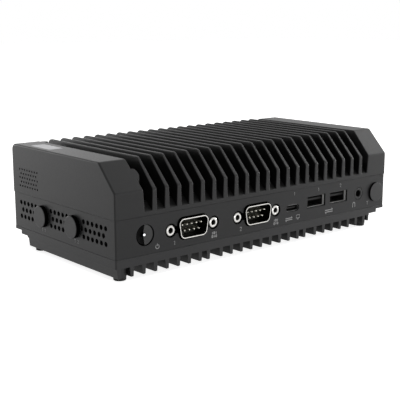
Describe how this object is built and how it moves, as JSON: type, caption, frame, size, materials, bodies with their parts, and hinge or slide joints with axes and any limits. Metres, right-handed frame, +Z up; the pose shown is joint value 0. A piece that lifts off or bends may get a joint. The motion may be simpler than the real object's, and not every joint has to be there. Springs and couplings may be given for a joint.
{
  "type": "fanless industrial computer",
  "caption": "Flat fanless computer with a finned heatsink cover, chamfered front, serial, data and audio ports, vent holes and rubber feet.",
  "frame": {"origin": "centre of the outline at the height of the feet's lower faces", "axes": "+X to the right along the front panel, +Y from the front panel to the rear, +Z up through the fins"},
  "size_m": [0.182, 0.0892, 0.0515],
  "materials": {
    "powder_black": "satin black powder coat on cast aluminium",
    "plate_silver": "thin satin plate, blank",
    "rubber_black": "matt black rubber",
    "button_black": "dark satin plastic",
    "light_white": "clear white light pipe",
    "plastic_black": "matt black moulding",
    "nickel": "nickel-plated steel",
    "gold": "gold-plated contacts",
    "board_green": "green circuit board",
    "chip_lid": "nickel-plated chip lid",
    "pad_grey": "soft thermal pad",
    "brass_plain": "plain brass",
    "black_steel": "black-oxide steel"
  },
  "bodies": {
    "housing": {"heatsink_cover": "powder_black", "badge_plate": "plate_silver", "middle_frame": "powder_black", "bottom_cover": "powder_black", "rubber_feet": "rubber_black", "power_switch": "plastic_black", "serial_shell_1": "nickel", "serial_shell_2": "nickel", "serial_insulator_1": "plastic_black", "serial_insulator_2": "plastic_black", "serial_pins_1": "gold", "serial_pins_2": "gold", "jack_screws": "nickel", "usb_c_shell": "nickel", "usb_c_tongue": "plastic_black", "usb_a_shell_1": "nickel", "usb_a_shell_2": "nickel", "usb_a_tongue_1": "plastic_black", "usb_a_tongue_2": "plastic_black", "usb_a_contacts_1": "gold", "usb_a_contacts_2": "gold", "audio_jack": "plastic_black", "blanking_plug_front": "plastic_black", "blanking_plugs_left": "plastic_black", "blanking_plugs_right": "plastic_black", "dc_inlet": "plastic_black", "dc_pin": "nickel", "network_shell_1": "nickel", "network_shell_2": "nickel", "network_insert_1": "plastic_black", "network_insert_2": "plastic_black", "network_contacts_1": "gold", "network_contacts_2": "gold", "display_shell_1": "nickel", "display_shell_2": "nickel", "display_tongue_1": "plastic_black", "display_tongue_2": "plastic_black", "main_board": "board_green", "processor": "chip_lid", "thermal_pad": "pad_grey", "memory_socket": "plastic_black", "memory_module": "board_green", "ssd_socket": "plastic_black", "ssd_card": "board_green", "radio_socket": "plastic_black", "radio_card": "board_green", "card_standoffs": "brass_plain", "card_screws": "nickel", "coin_cell_holder": "plastic_black", "coin_cell": "nickel", "power_coils": "plastic_black", "speaker": "plastic_black", "board_screws": "nickel", "case_screws": "black_steel", "lug_screws": "nickel"},
    "power_button": {"power_button": "button_black", "power_light_lens": "light_white", "switch_plunger": "plastic_black"}
  },
  "joints": [
    {"name": "power_button_press", "type": "slide", "parent": "housing", "child": "power_button", "axis": [0, 1, 0], "range_m": [0, 0.0005], "stiffness_N_per_m": 400, "springref_m": -0.0005}
  ]
}
